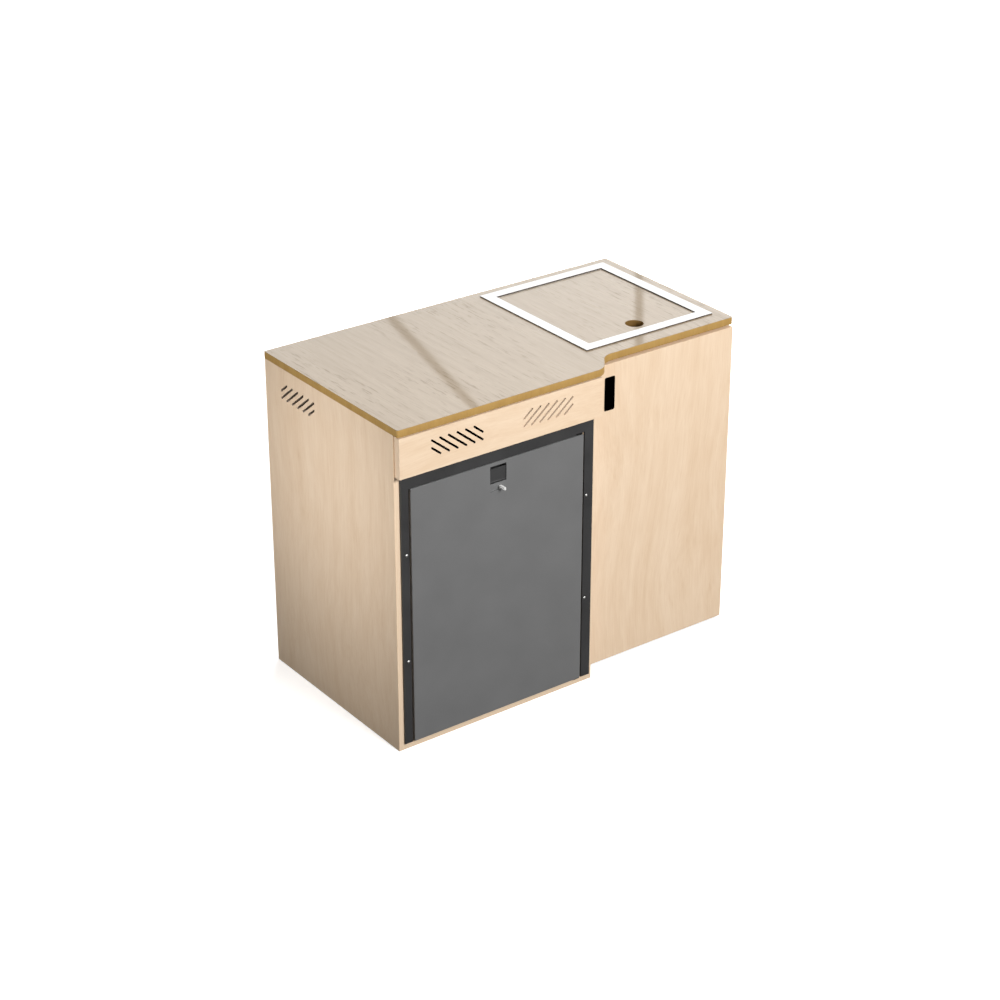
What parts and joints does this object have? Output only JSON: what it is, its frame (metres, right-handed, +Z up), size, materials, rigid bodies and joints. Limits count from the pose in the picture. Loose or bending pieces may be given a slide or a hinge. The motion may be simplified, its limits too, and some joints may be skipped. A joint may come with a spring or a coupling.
{
  "type": "campervan kitchen pod",
  "caption": "Campervan kitchen pod in light plywood: stepped worktop, built-in compressor fridge, drop-in basin under a lift-out lid, cupboard.",
  "frame": {"origin": "on the floor, under the middle of the worktop's full length and depth; the fridge's base panel rests on it there", "axes": "+X to the right seen from the front, -Y to the front, +Z up"},
  "size_m": [1.0065, 0.547, 0.817],
  "materials": {
    "light_plywood": "satin lacquer",
    "brown_edge": "satin lacquer",
    "greige_laminate": "fine linear grain, satin",
    "white_basin": "smooth",
    "charcoal_plastic": "fine texture",
    "grey_door_skin": "satin",
    "white_plastic": "smooth",
    "black_plastic": "satin",
    "black_rubber": "matt",
    "bright_steel": "zinc plated",
    "sheet_aluminium": "mill",
    "black_enamel": "gloss black"
  },
  "bodies": {
    "carcass": {"left_side_panel": "light_plywood", "divider_panel": "light_plywood", "right_side_panel": "light_plywood", "fridge_base_panel": "light_plywood", "cupboard_base_panel": "light_plywood", "back_panel": "light_plywood", "fascia_panel": "light_plywood", "fridge_front_rail": "light_plywood", "fridge_rear_rail": "light_plywood", "cupboard_front_rail": "light_plywood", "cupboard_rear_rail": "light_plywood", "fridge_batten_left": "light_plywood", "fridge_batten_right": "light_plywood", "cupboard_shelf": "light_plywood", "shelf_cleat_left": "light_plywood", "shelf_cleat_right": "light_plywood", "door_stop_batten": "light_plywood", "catch_keeper": "bright_steel", "worktop_core": "brown_edge", "worktop_laminate": "greige_laminate", "basin": "white_basin", "waste_strainer": "bright_steel", "waste_trap": "white_plastic", "fridge_cabinet": "charcoal_plastic", "fridge_liner": "white_plastic", "fridge_shelf_lower": "bright_steel", "fridge_shelf_upper": "bright_steel", "evaporator_box": "sheet_aluminium", "compressor": "black_enamel", "condenser": "sheet_aluminium", "fridge_hinge_upper": "black_enamel", "fridge_hinge_lower": "black_enamel", "fridge_flange": "charcoal_plastic", "flange_screw_1": "bright_steel", "flange_screw_2": "bright_steel", "flange_screw_3": "bright_steel", "flange_screw_4": "bright_steel", "hinge_lower_frame_leaf": "bright_steel", "hinge_lower_pin": "bright_steel", "hinge_upper_frame_leaf": "bright_steel", "hinge_upper_pin": "bright_steel"},
    "fridge_door": {"fridge_door_panel": "grey_door_skin", "latch_housing": "charcoal_plastic", "fridge_door_seal": "black_rubber", "fridge_door_liner": "white_plastic", "door_bin_lower": "white_plastic", "door_bin_upper": "white_plastic"},
    "latch_flap": {"latch_flap": "charcoal_plastic"},
    "latch_bolt": {"latch_bolt": "charcoal_plastic"},
    "lock_lever": {"lock_lever": "white_plastic"},
    "cupboard_door": {"cupboard_door": "light_plywood", "hinge_lower_door_leaf": "bright_steel", "hinge_upper_door_leaf": "bright_steel", "catch_housing": "black_plastic"},
    "catch_paddle": {"catch_paddle": "black_plastic"},
    "catch_bolt": {"catch_bolt": "black_plastic"},
    "lid": {"lid_panel": "brown_edge", "lid_laminate": "greige_laminate"},
    "waste_plug": {"waste_plug": "black_rubber"}
  },
  "joints": [
    {"name": "fridge_door_swing", "type": "hinge", "parent": "carcass", "child": "fridge_door", "pos_m": [0.01075, -0.253, 0.0175], "axis": [0, 0, 1], "range_deg": [0, 110]},
    {"name": "latch_flap_tilt", "type": "hinge", "parent": "fridge_door", "child": "latch_flap", "pos_m": [-0.22425, -0.25675, 0.6115], "axis": [-1, 0, 0], "range_deg": [0, 22]},
    {"name": "latch_bolt_slide", "type": "slide", "parent": "fridge_door", "child": "latch_bolt", "axis": [0, 0, -1], "range_m": [0, 0.004], "stiffness_N_per_m": 50, "springref_m": -0.004},
    {"name": "lock_lever_slide", "type": "slide", "parent": "fridge_door", "child": "lock_lever", "axis": [-1, 0, 0], "range_m": [0, 0.02]},
    {"name": "cupboard_door_swing", "type": "hinge", "parent": "carcass", "child": "cupboard_door", "pos_m": [0.5035, -0.1955, 0], "axis": [0, 0, 1], "range_deg": [0, 175]},
    {"name": "catch_paddle_tilt", "type": "hinge", "parent": "cupboard_door", "child": "catch_paddle", "pos_m": [0.127, -0.212, 0.7495], "axis": [-1, 0, 0], "range_deg": [0, 25], "stiffness_Nm_per_rad": 0.02, "springref_deg": -11.46},
    {"name": "catch_bolt_slide", "type": "slide", "parent": "cupboard_door", "child": "catch_bolt", "axis": [1, 0, 0], "range_m": [0, 0.008]},
    {"name": "lid_lift", "type": "slide", "parent": "carcass", "child": "lid", "axis": [0, 0, 1], "range_m": [0, 0.06]},
    {"name": "plug_lift", "type": "slide", "parent": "carcass", "child": "waste_plug", "axis": [0, 0, 1], "range_m": [0, 0.03]}
  ],
  "couplings": [
    {"joint": "latch_flap_tilt", "follows": "latch_bolt_slide", "rad_per_m": 95.9},
    {"joint": "catch_bolt_slide", "follows": "catch_paddle_tilt", "m_per_rad": 0.018}
  ]
}
